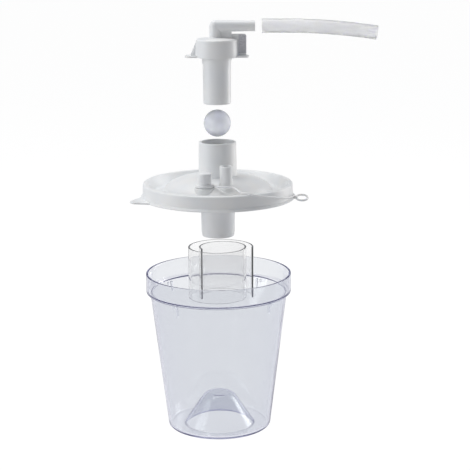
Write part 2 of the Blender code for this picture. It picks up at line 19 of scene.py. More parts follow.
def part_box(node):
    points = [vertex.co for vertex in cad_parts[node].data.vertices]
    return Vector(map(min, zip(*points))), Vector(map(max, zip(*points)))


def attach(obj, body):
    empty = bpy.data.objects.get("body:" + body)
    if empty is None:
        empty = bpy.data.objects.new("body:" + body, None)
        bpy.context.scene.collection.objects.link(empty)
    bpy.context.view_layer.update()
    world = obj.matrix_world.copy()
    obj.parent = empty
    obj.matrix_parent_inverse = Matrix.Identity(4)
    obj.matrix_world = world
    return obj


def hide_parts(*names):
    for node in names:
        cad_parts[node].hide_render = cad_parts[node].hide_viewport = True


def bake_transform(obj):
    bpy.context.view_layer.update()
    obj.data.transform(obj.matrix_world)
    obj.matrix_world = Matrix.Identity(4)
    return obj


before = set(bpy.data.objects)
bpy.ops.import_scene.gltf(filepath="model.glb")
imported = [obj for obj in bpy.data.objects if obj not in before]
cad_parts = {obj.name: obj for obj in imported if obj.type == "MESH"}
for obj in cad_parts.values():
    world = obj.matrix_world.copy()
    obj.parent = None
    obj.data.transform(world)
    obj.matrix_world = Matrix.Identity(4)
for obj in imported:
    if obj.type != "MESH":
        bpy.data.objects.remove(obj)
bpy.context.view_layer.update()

# %% [markdown]
# ## Where we stand
#
# A long lens from well back keeps the upright pieces parallel, as a catalogue picture does. It could be
# orthographic, but a little perspective opens the ellipses of the low pieces more than those of the high
# ones, and that is what tells the eye how tall the stack is. The camera looks down by thirteen degrees.

# %% The camera
LOOKS_DOWN = math.radians(13.05)
TIPPED = math.radians(-0.3)
STANDS_OFF = 1.329
AIM = Vector((0.01545, 0, 0.1819))

lens = bpy.data.cameras.new("studio_camera")
lens.sensor_width = 36
lens.lens = 110.7
camera = bpy.data.objects.new("studio_camera", lens)
bpy.context.scene.collection.objects.link(camera)
camera.location = AIM - STANDS_OFF * Vector((0, math.cos(LOOKS_DOWN), -math.sin(LOOKS_DOWN)))
turn = Matrix.Rotation(math.pi / 2 - LOOKS_DOWN, 4, "X") @ Matrix.Rotation(TIPPED, 4, "Z")
camera.rotation_euler = turn.to_euler()
bpy.context.scene.camera = camera
print("the camera stands", round(1000 * camera.location.z), "mm above the floor")

# %% [markdown]
# ## Sums on sockets
#
# A finish is a small calculation: a pattern, scaled, plus a constant, into a socket. Wiring it by hand
# hides the sum, so one class wraps an output socket and lets Python's own operators add the Math nodes.
# A second class holds the material and makes every other node through one method.

# %% Wire and Recipe
class Wire:
    """An output socket on which +, - and * work, each adding the Math node that does it."""

    def __init__(self, recipe, socket):
        self.recipe = recipe
        self.socket = socket

    def sum(self, operation, first, second):
        return self.recipe.node("ShaderNodeMath", {"operation": operation}, {0: first, 1: second})

    def __add__(self, other):
        return self.sum("ADD", self, other)

    def __sub__(self, other):
        return self.sum("SUBTRACT", self, other)

    def __rsub__(self, other):
        return self.sum("SUBTRACT", other, self)

    def __mul__(self, other):
        return self.sum("MULTIPLY", self, other)

    __radd__ = __add__
    __rmul__ = __mul__


class Bench:
    """A node tree being worked on."""

    def __init__(self, tree):
        self.tree = tree

    def feed(self, socket, value):
        """Gives a socket its value, or the wire that brings it."""
        if isinstance(value, Wire):
            self.tree.links.new(value.socket, socket)
        else:
            socket.default_value = value

    def node(self, kind, settings, values, output=0):
        """A node: first its settings, then the values or wires of its sockets."""
        made = self.tree.nodes.new(kind)
        for setting, value in settings.items():
            setattr(made, setting, value)
        for socket, value in values.items():
            self.feed(made.inputs[socket], value)
        return Wire(self, made.outputs[output])

    def place(self):
        """Where a point lies on the object, in metres."""
        return self.node("ShaderNodeTexCoord", {}, {}, "Object")

    def noise(self, scale, detail=2.0, stretch=(1, 1, 1)):
        """A soft pattern from 0 to 1, with so many waves in a metre, stretched along an axis if need be."""
        at = self.node("ShaderNodeVectorMath", {"operation": "MULTIPLY"}, {0: self.place(), 1: stretch})
        return self.node("ShaderNodeTexNoise", {}, {"Vector": at, "Scale": scale, "Detail": detail})

    def ramp(self, value, start, end):
        """Runs a value smoothly from 0 at start to 1 at end."""
        values = {"Value": value, "From Min": start, "From Max": end}
        return self.node("ShaderNodeMapRange", {"interpolation_type": "SMOOTHSTEP"}, values)

    def between(self, share, first, second):
        """A colour between two colours."""
        return self.node("ShaderNodeMix", {"data_type": "RGBA"}, {0: share, 6: first, 7: second}, 2)

    def dents(self, height, depth, strength=1.0):
        """A normal that follows a height pattern of so many metres."""
        return self.node("ShaderNodeBump", {}, {"Strength": strength, "Distance": depth, "Height": height})

    def looked_at(self):
        """1 where the eye looks straight or through clear plastic, 0 where a surface only gathers light."""
        straight = self.node("ShaderNodeLightPath", {}, {}, "Is Camera Ray")
        through = self.node("ShaderNodeLightPath", {}, {}, "Is Transmission Ray")
        return straight.sum("MAXIMUM", straight, through)


class Recipe(Bench):
    """A material in the making, with its Principled shader set by plain values."""

    def __init__(self, name, settings):
        self.material = bpy.data.materials.new(name)
        self.material.use_nodes = True
        super().__init__(self.material.node_tree)
        self.shader = self.tree.nodes["Principled BSDF"]
        self.output = self.tree.nodes["Material Output"]
        for socket, value in settings.items():
            self.set(socket, value)

    def set(self, socket, value):
        self.feed(self.shader.inputs[socket], value)


print("finishes can be written as sums")

# %% [markdown]
# ## White moulded polypropylene
#
# The lid, the elbow and the cap are moulded in a white plastic that is a little cool in tone and half
# glossy. Up close such a moulding is never even: the melt leaves slow clouds in its gloss, the tool leaves
# fine turning lines on round walls, and the skin has a grain far finer than a millimetre. A flat white
# would do from afar, but each of the three shows when light rakes the surface, so each gets its pattern.

# %% White plastic
COOL_WHITE = (0.800, 0.815, 0.825, 1)
WARM_WHITE = (0.845, 0.842, 0.832, 1)


def white_plastic(name, lines=0.3, cool=COOL_WHITE, warm=WARM_WHITE):
    """A white moulding. lines is how strongly the tool's turning lines show."""
    recipe = Recipe(name, {"IOR": 1.49, "Specular IOR Level": 0.45, "Subsurface Weight": 0.12})
    recipe.set("Subsurface Radius", (0.0012, 0.0011, 0.0010))
    recipe.set("Subsurface Scale", 1.0)
    clouds = recipe.noise(34, 3)
    grain = recipe.noise(2600, 2)
    turning = recipe.noise(60, 1, (1, 1, 42))
    recipe.set("Base Color", recipe.between(recipe.ramp(clouds, 0.30, 0.72), cool, warm))
    recipe.set("Roughness", 0.30 + clouds * 0.12 + grain * 0.06)
    recipe.set("Normal", recipe.dents(grain * 0.35 + turning * lines, 0.00006, 0.55))
    return recipe


lid_white = white_plastic("lid_white", 0.55).material
elbow_recipe = white_plastic("elbow_white", 0.35)
cap_white = white_plastic("cap_white", 0.30, (0.79, 0.80, 0.815, 1)).material
print("white plastics made")

# %% [markdown]
# ## The sparked grip and its painted shade
#
# The plate under the spout is where a thumb pushes. Its tool was sparked, not polished, so the plate is
# matt and speckled; its grey is painted shade. It is part of the same moulding, so the finish picks
# the plate out by its place: beyond the cap's wall and above the ear.

# %% The grip's speckle and painted shade
GRIP_STARTS = 0.0192
GRIP_FLOOR = 0.3486
GRIP_CEILING = 0.3652


def speckle_and_shade_grip(recipe):
    """Adds the sparked patch to the elbow's finish: speckled, and grey as painted shade."""
    along = recipe.node("ShaderNodeSeparateXYZ", {}, {0: recipe.place()}, "X")
    up = recipe.node("ShaderNodeSeparateXYZ", {}, {0: recipe.place()}, "Z")
    patch = recipe.ramp(along, GRIP_STARTS, GRIP_STARTS + 0.0004)
    patch = patch * recipe.ramp(up, GRIP_FLOOR, GRIP_FLOOR + 0.0004)
    patch = patch * (1 - recipe.ramp(up, GRIP_CEILING, GRIP_CEILING + 0.0004))
    specks = recipe.noise(1500, 1)
    # Painted shade: the grey darkens the plate as shade would; the speckle in it is the sparked finish.
    painted_shade_grey = recipe.between(recipe.ramp(specks, 0.40, 0.62), (0.50, 0.50, 0.53, 1), (0.70, 0.70, 0.73, 1))
    clouds = recipe.noise(34, 3)
    grain = recipe.noise(2600, 2)
    white = recipe.between(recipe.ramp(clouds, 0.30, 0.72), COOL_WHITE, WARM_WHITE)
    recipe.set("Base Color", recipe.between(patch, white, painted_shade_grey))
    recipe.set("Roughness", 0.30 + clouds * 0.12 + grain * 0.06 + patch * 0.22)
    recipe.set("Normal", recipe.dents(grain * 0.35 + specks * patch * 2.0, 0.00008, 0.6))
    return recipe.material


elbow_white = speckle_and_shade_grip(elbow_recipe)
print("the elbow's grip is speckled")

# %% [markdown]
# ## Clear plastics
#
# The cup is a clear styrene with a blue-violet cast, and the rolled sheet is a neutral one. Colour in a
# clear plastic builds up with the way that light travels inside it, which is why a rim seen along its wall
# is dark while the wall seen through is pale. A transparent surface can't show that, but a refracting
# shader round an absorbing inside does. Real styrene also scatters a little light on its way; a very small
# painted glow at the skin stands in for it, adds up along a rim and turns its line violet, not black.
# Lamps pass through to the floor, so that the shadow stays light.

# %% Clear plastic
def clear_plastic(name, tint, inside, density, painted_glow, ripple):
    """A clear moulding: its skin's tint, the colour that builds up inside, its painted glow, and its skin's
    waves.
    """
    settings = {"Base Color": tint, "Transmission Weight": 1.0, "IOR": 1.50}
    # The emission is a painted glow, standing in for light that the plastic scatters.
    settings.update({"Emission Color": painted_glow, "Emission Strength": 1.0})
    recipe = Recipe(name, settings)
    waves = recipe.noise(26, 2, (1, 1, 0.35))
    scuffs = recipe.noise(900, 2)
    recipe.set("Roughness", 0.015 + recipe.ramp(scuffs, 0.55, 0.80) * 0.05)
    recipe.set("Normal", recipe.dents(waves, 0.0006 * ripple, 0.5))
    lamp = recipe.node("ShaderNodeLightPath", {}, {}, "Is Shadow Ray")
    clear = Wire(recipe, recipe.shader.outputs[0])
    through = recipe.node("ShaderNodeBsdfTransparent", {}, {"Color": (0.93, 0.93, 0.95, 1)})
    both = recipe.node("ShaderNodeMixShader", {}, {0: lamp, 1: clear, 2: through})
    soak = recipe.node("ShaderNodeVolumeAbsorption", {}, {"Color": inside, "Density": density})
    recipe.feed(recipe.output.inputs["Surface"], both)
    recipe.feed(recipe.output.inputs["Volume"], soak)
    return recipe.material


# Painted glow: a faint emission on each clear plastic, standing in for scattered light.
CUP_PAINTED_GLOW = (0.012, 0.012, 0.026, 1)
SHEET_PAINTED_GLOW = (0.018, 0.018, 0.019, 1)

CUP_INSIDE = (0.60, 0.60, 0.85, 1)
SHEET_INSIDE = (0.42, 0.43, 0.43, 1)

cup_clear = clear_plastic("cup_clear", (0.825, 0.840, 0.815, 1), CUP_INSIDE, 60, CUP_PAINTED_GLOW, 1.0)
sheet_clear = clear_plastic("sheet_clear", (0.93, 0.93, 0.93, 1), SHEET_INSIDE, 35, SHEET_PAINTED_GLOW, 0.5)
print("clear plastics made")

# %% [markdown]
# ## Milky plastics and rubber
#
# The ball is blown from a milky plastic and the hose is a soft vinyl. Light enters both, spreads and comes
# out nearby, so they take a strong subsurface share and a faint blue. The sealing rings are a grey rubber
# with a dusty skin.

# %% Ball, hose and seal
def milky(name, colour, deep, through, rough):
    """A translucent plastic. through is how much of the light goes right through it, spread wide."""
    recipe = Recipe(name, {"IOR": 1.40, "Transmission Weight": through, "Subsurface Weight": 0.9})
    recipe.set("Subsurface Radius", (0.006, 0.006, 0.007))
    recipe.set("Subsurface Scale", 1.0)
    recipe.set("Coat Weight", 0.5)
    recipe.set("Coat Roughness", 0.12)
    clouds = recipe.noise(120, 3)
    grain = recipe.noise(2200, 1)
    recipe.set("Base Color", recipe.between(clouds, deep, colour))
    recipe.set("Roughness", rough + clouds * 0.10)
    recipe.set("Normal", recipe.dents(grain * 0.3 + clouds, 0.00008, 0.35))
    return recipe


def rubber(name):
    """Grey rubber with a dusty skin."""
    recipe = Recipe(name, {"IOR": 1.50, "Specular IOR Level": 0.30})
    dust = recipe.noise(700, 4)
    recipe.set("Base Color", recipe.between(dust, (0.30, 0.31, 0.32, 1), (0.46, 0.46, 0.46, 1)))
    recipe.set("Roughness", 0.55 + dust * 0.25)
    recipe.set("Normal", recipe.dents(dust, 0.00005, 0.5))
    return recipe.material


ball_milk = milky("ball_milk", (0.87, 0.88, 0.93, 1), (0.82, 0.84, 0.90, 1), 0.50, 0.60).material
hose_vinyl = milky("hose_vinyl", (0.995, 0.996, 1.0, 1), (0.97, 0.975, 0.99, 1), 0.68, 0.42).material
seal_grey = rubber("seal_grey")
print("milky plastics and rubber made")

# %% [markdown]
# ## Tools for turned and cut pieces
#
# Nearly every piece here is turned or flat, as mouldings are. A turned piece is a line of corners with
# rounded edges, repeated round the axis ring by ring, so every run gives the same mesh. A flat piece is an
# outline made thick. They are joined and cut with exact Booleans. A cut can leave edges a few thousandths
# of a millimetre long, and the next cut tears on them, so each result is welded before the next tool.

# %% Lines
def rounded(corners, arc_steps=5):
    """The line through corners of (across, up, radius), with an arc wherever the radius isn't 0."""
    line = []
    for i, (across, up, radius) in enumerate(corners):
        here = Vector((across, up))
        if radius == 0 or i in (0, len(corners) - 1):
            line.append(here)
            continue
        back = (Vector(corners[i - 1][:2]) - here).normalized()
        ahead = (Vector(corners[i + 1][:2]) - here).normalized()
        half = back.angle(ahead) / 2
        centre = here + (back + ahead).normalized() * radius / math.sin(half)
        start = here + back * radius / math.tan(half) - centre
        end = here + ahead * radius / math.tan(half) - centre
        first = math.atan2(start.y, start.x)
        sweep = (math.atan2(end.y, end.x) - first + math.pi) % math.tau - math.pi
        for k in range(arc_steps + 1):
            angle = first + sweep * k / arc_steps
            line.append(centre + radius * Vector((math.cos(angle), math.sin(angle))))
    return line


def arc(centre, radius, start, end, steps):
    """Points on a circle about (x, y), from one angle to another in degrees."""
    x, y = centre
    angles = [math.radians(start + (end - start) * k / steps) for k in range(steps + 1)]
    return [Vector((x + radius * math.cos(a), y + radius * math.sin(a))) for a in angles]


def smooth_line(points, steps):
    """A smooth curve through points, with so many steps between each two."""
    points = [Vector(p) for p in points]
    padded = [2 * points[0] - points[1], *points, 2 * points[-1] - points[-2]]
    line = []
    for a, b, c, d in zip(padded, padded[1:], padded[2:], padded[3:]):
        for k in range(steps):
            t = k / steps
            bend = (2 * a - 5 * b + 4 * c - d) * t**2 + (3 * b - a - 3 * c + d) * t**3
            line.append(0.5 * (2 * b + (c - a) * t + bend))
    return line + [points[-1]]


print("a right angle rounded by 1 mm has", len(rounded([(0, 0, 0), (1, 0, 0.001), (1, 1, 0)])), "points")

# %% Solids
FINE = 128
WELD = 1e-6
SLIVER = 5e-6


def new_piece(name, shape):
    """An object for a bmesh, which is freed."""
    mesh = bpy.data.meshes.new(name)
    shape.to_mesh(mesh)
    shape.free()
    made = bpy.data.objects.new(name, mesh)
    bpy.context.scene.collection.objects.link(made)
    return made


def turned(name, line, steps=FINE, closed=False):
    """A line of (radius, height), turned about Z ring by ring. A closed line makes a ring."""
    kept = [line[0]] + [b for a, b in zip(line, line[1:]) if math.dist(a, b) > WELD]
    if closed and math.dist(kept[0], kept[-1]) < WELD:
        kept.pop()
    turns = [(math.cos(math.tau * k / steps), math.sin(math.tau * k / steps)) for k in range(steps)]
    shape = bmesh.new()
    rings = []
    for radius, z in kept:
        if radius < WELD:
            rings.append([shape.verts.new((0, 0, z))] * steps)
        else:
            rings.append([shape.verts.new((radius * c, radius * s, z)) for c, s in turns])
    for low, high in list(zip(rings, rings[1:])) + ([(rings[-1], rings[0])] if closed else []):
        for k in range(steps):
            corners = (low[k], low[k - 1], high[k - 1], high[k])
            shape.faces.new(list(dict.fromkeys(corners)))
    bmesh.ops.recalc_face_normals(shape, faces=shape.faces)
    return new_piece(name, shape)


def rod(name, start, end, radius, end_radius=None, steps=48):
    """A round bar or cone from one point to another."""
    start, end = Vector(start), Vector(end)
    along = end - start
    facing = Vector((0, 0, 1)).rotation_difference(along).to_matrix().to_4x4()
    shape = bmesh.new()
    bmesh.ops.create_cone(
        shape,
        cap_ends=True,
        segments=steps,
        radius1=radius,
        radius2=radius if end_radius is None else end_radius,
        depth=along.length,
        matrix=Matrix.Translation((start + end) / 2) @ facing,
    )
    return new_piece(name, shape)


def plate(name, outline, thickness, matrix=Matrix(), edge=0.0):
    """A flat piece from an outline in XY, half its thickness each way, its edges eased by edge."""
    shape = bmesh.new()
    corners = [shape.verts.new((x, y, -thickness / 2)) for x, y in outline]
    base = shape.faces.new(corners)
    pushed = bmesh.ops.extrude_face_region(shape, geom=[base])["geom"]
    tops = [v for v in pushed if isinstance(v, bmesh.types.BMVert)]
    bmesh.ops.translate(shape, verts=tops, vec=(0, 0, thickness))
    bmesh.ops.recalc_face_normals(shape, faces=shape.faces)
    if edge:
        rims = [e for e in shape.edges if abs(e.verts[0].co.z - e.verts[1].co.z) < WELD]
        bmesh.ops.bevel(shape, geom=rims, offset=edge, segments=2, profile=0.5, affect="EDGES")
    bmesh.ops.transform(shape, matrix=matrix, verts=shape.verts)
    return new_piece(name, shape)


def upright(turn_degrees=0.0):
    """Stands an XY outline up in the XZ plane, then turns it about Z."""
    about = Matrix.Rotation(math.radians(turn_degrees), 4, "Z")
    return about @ Matrix.Rotation(math.pi / 2, 4, "X")


def weld(mesh):
    """Closes up the tiny edges and faces that a cut leaves, and counts the edges that are still open."""
    shape = bmesh.new()
    shape.from_mesh(mesh)
    bmesh.ops.remove_doubles(shape, verts=shape.verts, dist=SLIVER)
    bmesh.ops.dissolve_degenerate(shape, edges=shape.edges, dist=SLIVER)
    shape.to_mesh(mesh)
    open_edges = sum(len(edge.link_faces) != 2 for edge in shape.edges)
    shape.free()
    return open_edges


def combine(piece, operation, *tools):
    """Joins tools to a piece or cuts them from it, one at a time, welds each result and drops the tools."""
    for tool in tools:
        change = piece.modifiers.new(tool.name, "BOOLEAN")
        change.operation = operation
        change.solver = "EXACT"
        change.object = tool
        graph = bpy.context.evaluated_depsgraph_get()
        mesh = bpy.data.meshes.new_from_object(piece.evaluated_get(graph))
        piece.modifiers.clear()
        piece.data = mesh
        open_edges = weld(mesh)
        if open_edges:
            print("after", tool.name, piece.name, "has", open_edges, "open edges")
        bpy.data.objects.remove(tool)
    return piece


def dress(piece, material, body, slot, *nodes, sharp=32):
    """Gives a finished mesh its shading and plastic, its body, and the solids that it stands for."""
    piece.data.materials.clear()
    piece.data.materials.append(material)
    piece.data.shade_smooth()
    piece.data.set_sharp_from_angle(angle=math.radians(sharp))
    even = piece.modifiers.new("even_normals", "WEIGHTED_NORMAL")
    even.keep_sharp = True
    if body:
        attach(piece, body)
    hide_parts(*nodes)
    print(piece.name, "has", len(piece.data.polygons), "faces")
    return piece


print("tools ready")

# %% [markdown]
# ## The hose, pulled off its spout
#
# A short piece of soft tube with both ends cut square. It could be a curve with a bevel, but then it would
# be a bar: the ends are seen, so the tube is swept as two skins, an outer and an inner one, joined by a
# ring at each end. Its line runs straight off the spout and then sinks slowly under its own weight.

# %% The hose
HOSE_ACROSS = 0.0125
HOSE_BORE_RADIUS = 0.0053
HOSE_ROUTE = (
    (0.0404, 0.3729), (0.0477, 0.3729), (0.0551, 0.3729), (0.0624, 0.3729), (0.0697, 0.3728),
    (0.0770, 0.3726), (0.0844, 0.3723), (0.0917, 0.3719), (0.0990, 0.3714), (0.1064, 0.3708),
    (0.1137, 0.3701), (0.1210, 0.3693), (0.1283, 0.3684), (0.1357, 0.3674), (0.1430, 0.3663),
)


def hose_ring(shape, line, i, radius, sides=56):
    """One ring of vertices square to the line at its point i."""
    ahead = line[min(i + 1, len(line) - 1)] - line[max(i - 1, 0)]
    up = ahead.normalized().cross(Vector((0, 1, 0)))
    ring = []
    for k in range(sides):
        angle = math.tau * k / sides
        spoke = math.cos(angle) * up + math.sin(angle) * Vector((0, 1, 0))
        ring.append(shape.verts.new(line[i] + radius * spoke))
    return ring


def skin(shape, rings):
    """Quads between each ring and the next."""
    for low, high in zip(rings, rings[1:]):
        for k, corner in enumerate(low):
            shape.faces.new((low[k - 1], corner, high[k], high[k - 1]))


def soft_hose():
    """The swept tube, dressed as the hose; it prints its real length."""
    line = smooth_line([(x, 0, z) for x, z in HOSE_ROUTE], 4)
    shape = bmesh.new()
    ease = 0.00022
    last = len(line) - 1
    outer = [hose_ring(shape, line, i, HOSE_ACROSS / 2) for i in range(len(line))]
    inner = [hose_ring(shape, line, i, HOSE_BORE_RADIUS) for i in range(len(line))]
    for ring, i, sense in ((outer[0], 0, 1), (outer[last], last, -1)):
        towards = (line[i + sense] - line[i]).normalized() * ease
        for vertex in ring:
            vertex.co += towards
    lip_start = hose_ring(shape, line, 0, HOSE_ACROSS / 2 - ease)
    lip_end = hose_ring(shape, line, last, HOSE_ACROSS / 2 - ease)
    skin(shape, [inner[0], lip_start, *outer, lip_end, inner[last]])
    skin(shape, inner[::-1])
    bmesh.ops.recalc_face_normals(shape, faces=shape.faces)
    made = dress(new_piece("soft_hose", shape), hose_vinyl, "hose", "hose_vinyl", "hose", sharp=50)
    length = sum((b - a).length for a, b in zip(line, line[1:]))
    print("the hose is", round(1000 * length), "mm long")


soft_hose()

# %% [markdown]
# ## The cup
#
# A tapered cup with a wide band round its mouth, a ledge at the band's foot, and a hollow cone pushed up in
# its floor so that cups nest and stand steady. It is one line, run down the inside and back up the outside,
# spun about the axis. Four pairs of small ribs under the ledge keep nested cups from jamming.

# %% The cup's section
cup_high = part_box("canister_jar")[1]
CUP_WALL = 0.0018
BAND_RADIUS = cup_high.x
BAND_FOOT = 0.1295
SHOULDER_RADIUS = 0.0632
FOOT_RADIUS = 0.0477
CONE_RADIUS = 0.0325
CONE_HEIGHT = 0.0305
CONE_CROWN = 0.0135


def cup_section():
    """The cup's half section, from the cone's top inside, over the rim, to the cone's top outside."""
    bore = BAND_RADIUS - CUP_WALL
    inside = [
        (0, CONE_HEIGHT, 0),
        (CONE_CROWN, CONE_HEIGHT, 0.008),
        (CONE_RADIUS, CUP_WALL, 0.002),
        (FOOT_RADIUS - CUP_WALL, CUP_WALL, 0.003),
        (SHOULDER_RADIUS - CUP_WALL, BAND_FOOT + 0.0004, 0.001),
        (bore, BAND_FOOT + CUP_WALL, 0.001),
        (bore, cup_high.z, 0.0006),
    ]
    outside = [
        (BAND_RADIUS, cup_high.z, 0.0006),
        (BAND_RADIUS, BAND_FOOT, 0.0010),
        (SHOULDER_RADIUS, BAND_FOOT - 0.0010, 0.0006),
        (FOOT_RADIUS, 0, 0.0035),
        (CONE_RADIUS - 0.0012, 0, 0.001),
        (CONE_CROWN - 0.0009, CONE_HEIGHT - CUP_WALL, 0.007),
        (0, CONE_HEIGHT - CUP_WALL, 0),
    ]
    return rounded(inside + outside, 6)


print("the cup's section has", len(cup_section()), "points")

# %% The cup and its ribs
RIB_ANGLE = 51
RIB_TOP = 0.1278
RIB_LENGTHS = (0.0090, 0.0030)
RIB_APART = 0.0042


def stacking_ribs():
    """Four pairs of upright ribs, a long one and a short one, on the inside of the wall."""
    taper = (SHOULDER_RADIUS - FOOT_RADIUS) / BAND_FOOT
    ribs = []
    for quarter in range(4):
        for number, length in enumerate(RIB_LENGTHS):
            wall = SHOULDER_RADIUS - CUP_WALL - taper * (BAND_FOOT - RIB_TOP + length)
            side = (number - 0.5) * RIB_APART * (1 if quarter % 2 else -1)
            outline = [
                (wall - 0.0015, RIB_TOP - length),
                (SHOULDER_RADIUS - CUP_WALL, RIB_TOP - length),
                (SHOULDER_RADIUS - CUP_WALL, RIB_TOP),
                (wall - 0.0015, RIB_TOP),
            ]
            turn_to = Matrix.Rotation(math.radians(RIB_ANGLE + 90 * quarter), 4, "Z")
            stand = turn_to @ Matrix.Translation((0, side, 0)) @ upright()
            ribs.append(plate(f"rib_{quarter}_{number}", outline, 0.0010, stand))
    return ribs


cup = combine(turned("clear_cup", cup_section()), "UNION", *stacking_ribs())
dress(cup, cup_clear, "canister", "clear_canister", "canister_jar")

# %% [markdown]
# ## The splash guard
#
# A clear sheet rolled one and a half times into a scroll, open above and below. Air goes round it and drops
# its spray on the way. It is three half circles with centres side by side, so the turns never touch. Its
# outline is drawn once along each face of the sheet, closed at the two ends, and made as tall as the sheet.

# %% The rolled sheet
guard_low, guard_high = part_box("splash_guard")
SHEET = 0.0016
TURNS = (  # centre on X, radius, first angle, last angle
    (0.0040, 0.0210, 205, 0),
    (-0.0010, 0.0260, 0, -180),
    (0.0023, 0.0293, 180, -8),
)


def rolled_sheet():
    """The scroll, with the edges of the sheet eased."""
    face, back = [], []
    for x, radius, start, end in TURNS:
        steps = round(abs(end - start) / 4)
        face += arc((x, 0), radius + SHEET / 2, start, end, steps)[bool(face) :]
        back += arc((x, 0), radius - SHEET / 2, start, end, steps)[bool(back) :]
    tall = guard_high.z - guard_low.z
    middle = Matrix.Translation((0, 0, (guard_high.z + guard_low.z) / 2))
    return plate("rolled_sheet", face + back[::-1], tall, middle, 0.00025)


dress(rolled_sheet(), sheet_clear, "splash_guard", "clear_guard", "splash_guard", sharp=40)

# %% [markdown]
# ## The lid
#
# One moulding does six jobs: the skirt grips the cup, the moat stiffens it, the dome sheds liquid, the
# chimney takes the plug, the drop tube holds the ball, and two ports lead in. The round part is a single
# closed line. The ports, fins, tab and anchor are joined to it afterwards, and the bores are cut last.

# %% The lid's section
lid_low, lid_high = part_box("lid")
LID_WALL = 0.0016
RIM_TOP = 0.2317
SKIRT_FOOT = 0.2179
SKIRT_RADIUS = 0.0686
SKIRT_BORE = 0.06735
FLANGE_RADIUS = 0.0703
MOAT_FLOOR = 0.2230
MOAT_RADIUS = 0.0585
DOME_RADIUS = 0.0495
DOME_TOP = 0.2376
CHIMNEY_RADIUS = 0.01695
CHIMNEY_FOOT = 0.0174
CHIMNEY_BORE = 0.01505
DROP_RADIUS = 0.01565
DROP_BORE = 0.0137


def dome_line(start_radius, end_radius, base, rise, steps=20):
    """A quarter of an ellipse, from the top of the dome out and down to its base."""
    angles = [math.pi / 2 * (1 - k / steps) for k in range(steps + 1)]
    across = end_radius - start_radius
    return [Vector((start_radius + across * math.cos(a), base + rise * math.sin(a))) for a in angles]


def lid_section():
    """The closed line of the lid's wall: up the chimney, out over the dome, down the skirt and back under."""
    rise = DOME_TOP - MOAT_FLOOR
    under = MOAT_FLOOR - LID_WALL
    dome = dome_line(CHIMNEY_FOOT, DOME_RADIUS, MOAT_FLOOR, rise)
    ceiling = dome_line(DROP_RADIUS, DOME_RADIUS - LID_WALL, under, rise)
    chimney = [
        (CHIMNEY_BORE, lid_high.z, 0.0004),
        (CHIMNEY_BORE + 0.0001, lid_high.z, 0.0),
        (CHIMNEY_RADIUS, lid_high.z, 0.0007),
        (dome[0].x, dome[0].y + 0.0004, 0.0007),
        (dome[0].x + 0.0024, dome[0].y - 0.00004, 0),
    ]
    rim = [
        (dome[-1].x, dome[-1].y, 0),
        (MOAT_RADIUS, MOAT_FLOOR, 0.003),
        (0.0638, RIM_TOP, 0.0014),
        (SKIRT_RADIUS - 0.0004, RIM_TOP, 0.0018),
        (SKIRT_RADIUS, SKIRT_FOOT + 0.0026, 0.0004),
        (FLANGE_RADIUS, SKIRT_FOOT + 0.0010, 0.0004),
        (FLANGE_RADIUS, SKIRT_FOOT, 0.0004),
        (SKIRT_BORE, SKIRT_FOOT, 0),
        (SKIRT_BORE, RIM_TOP - LID_WALL, 0),
        (0.0647, RIM_TOP - LID_WALL, 0),
        (MOAT_RADIUS + 0.0012, under, 0.002),
        (ceiling[-1].x, ceiling[-1].y, 0),
    ]
    drop = [
        (ceiling[0].x, ceiling[0].y, 0),
        (DROP_RADIUS - 0.0004, lid_low.z + 0.0040, 0.0060),
        (DROP_RADIUS - 0.0011, lid_low.z, 0.0005),
        (DROP_BORE, lid_low.z, 0.0004),
        (DROP_BORE, DOME_TOP - 0.0050, 0),
        (CHIMNEY_BORE, DOME_TOP - 0.0010, 0),
        (CHIMNEY_BORE, lid_high.z, 0),
    ]
    line = rounded(chimney)[1:] + [p for p in dome if p.x > dome[0].x + 0.0030]
    line += rounded(rim)[1:-1] + ceiling[::-1] + rounded(drop)[1:-1]
    return line


lid_body = turned("lid_moulding", lid_section(), closed=True)
print("the lid's round part has", len(lid_body.data.polygons), "faces")

# %% The lid's fittings
PORT_Y = -0.0370
BOSS_TOP = 0.2339
TALL_PORT_X = 0.0078
TALL_PORT_RADIUS = 0.00565
TALL_PORT_TOP = 0.2530
CAP_X = -0.0112
COLLAR_RADIUS = 0.0082
NIPPLE_TOP = 0.2446
FIN_REACH = 0.0330
TAB_TIP = (-0.0814, -0.0316)


def spun_at(name, x, corners, steps=64):
    """A turned fitting that stands on the dome at x, on the ports' line."""
    made = turned(name, rounded(corners), steps)
    made.data.transform(Matrix.Translation((x, PORT_Y, 0)))
    return made


def port_fittings():
    """The two bosses, the tall port with its buttress, and the short port's nipple."""
    foot = DOME_TOP - 0.0100
    boss = COLLAR_RADIUS + 0.0010
    tall = [
        (0, TALL_PORT_TOP, 0),
        (TALL_PORT_RADIUS, TALL_PORT_TOP, 0.0005),
        (TALL_PORT_RADIUS, BOSS_TOP, 0.0006),
        (0.0069, BOSS_TOP, 0.0006),
        (0.0074, foot, 0),
        (0, foot, 0),
    ]
    buttress = [
        (TALL_PORT_X - 0.0072, BOSS_TOP - 0.0006),
        (TALL_PORT_X - 0.0010, BOSS_TOP - 0.0006),
        (TALL_PORT_X - 0.0010, BOSS_TOP + 0.0044),
        (TALL_PORT_X - 0.0055, BOSS_TOP + 0.0044),
    ]
    stand = Matrix.Translation((0, PORT_Y, 0)) @ upright()
    low_boss = [(0, BOSS_TOP, 0), (boss, BOSS_TOP, 0.0006), (boss, foot, 0), (0, foot, 0)]
    inset = foot + 0.001
    nipple = [(0, NIPPLE_TOP, 0), (0.0042, NIPPLE_TOP, 0.0004), (0.0042, inset, 0), (0, inset, 0)]
    return [
        spun_at("tall_port", TALL_PORT_X, tall),
        plate("buttress", buttress, 0.0015, stand, 0.0002),
        spun_at("low_boss", CAP_X, low_boss),
        spun_at("nipple", CAP_X, nipple),
    ]


